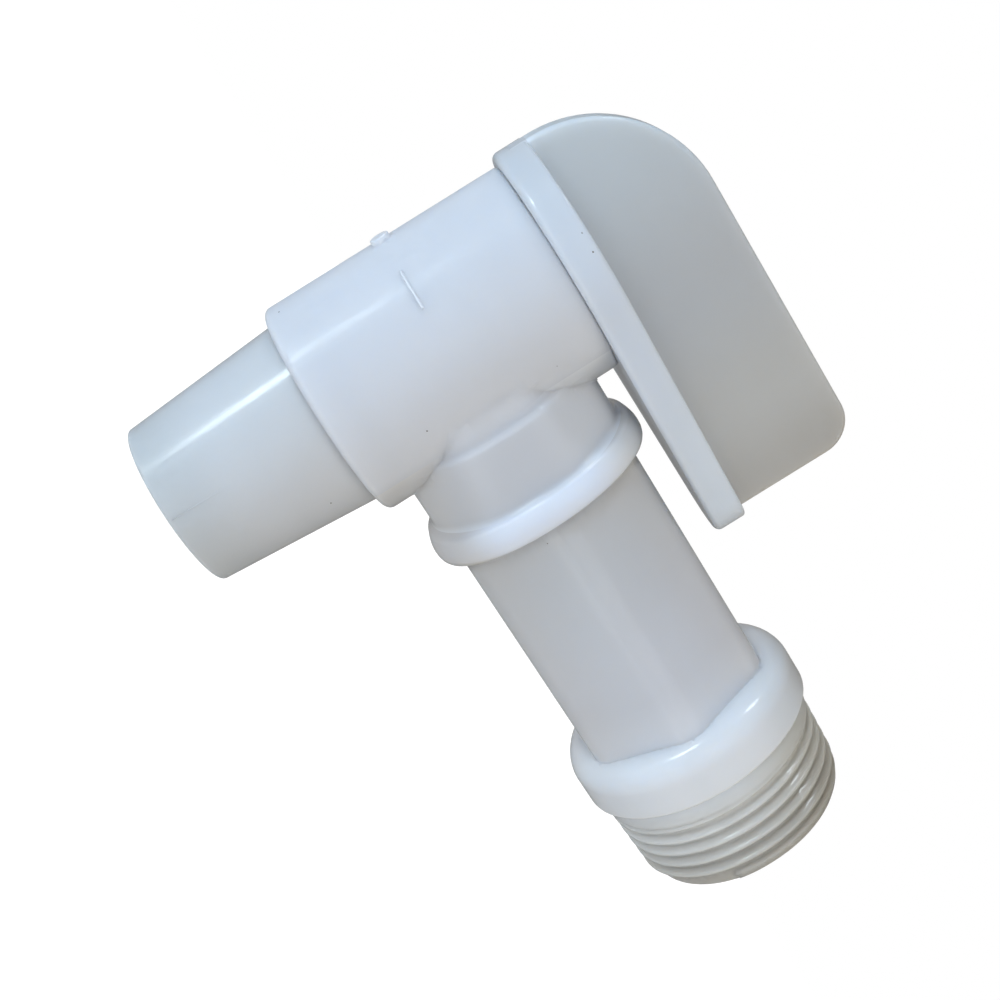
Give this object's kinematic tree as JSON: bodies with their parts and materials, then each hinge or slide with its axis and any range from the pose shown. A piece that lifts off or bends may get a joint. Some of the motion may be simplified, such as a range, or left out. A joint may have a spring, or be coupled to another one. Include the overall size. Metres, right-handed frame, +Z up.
{
  "type": "drum spigot",
  "caption": "Plastic drum spigot: a turning plug with a lever and a tapered spout in an upright barrel, fed by a six-sided side pipe with a collar and a threaded end.",
  "frame": {"origin": "on the pipe's axis, in the plane of the collar's seating face, where the thread starts", "axes": "+X out along the pipe and its thread, +Z up the barrel towards the lever"},
  "size_m": [0.0839, 0.0288, 0.0677],
  "materials": {
    "body_plastic": "natural, milky, see-through at thin walls, satin with glossy rounds",
    "plug_plastic": "natural, milky, see-through at thin walls, satin"
  },
  "bodies": {
    "body": {"body": "body_plastic"},
    "plug": {"plug_handle": "plug_plastic"}
  },
  "joints": [
    {"name": "plug_turn", "type": "hinge", "parent": "body", "child": "plug", "pos_m": [-0.0575, 0, 0], "axis": [0, 0, 1], "continuous": true}
  ]
}
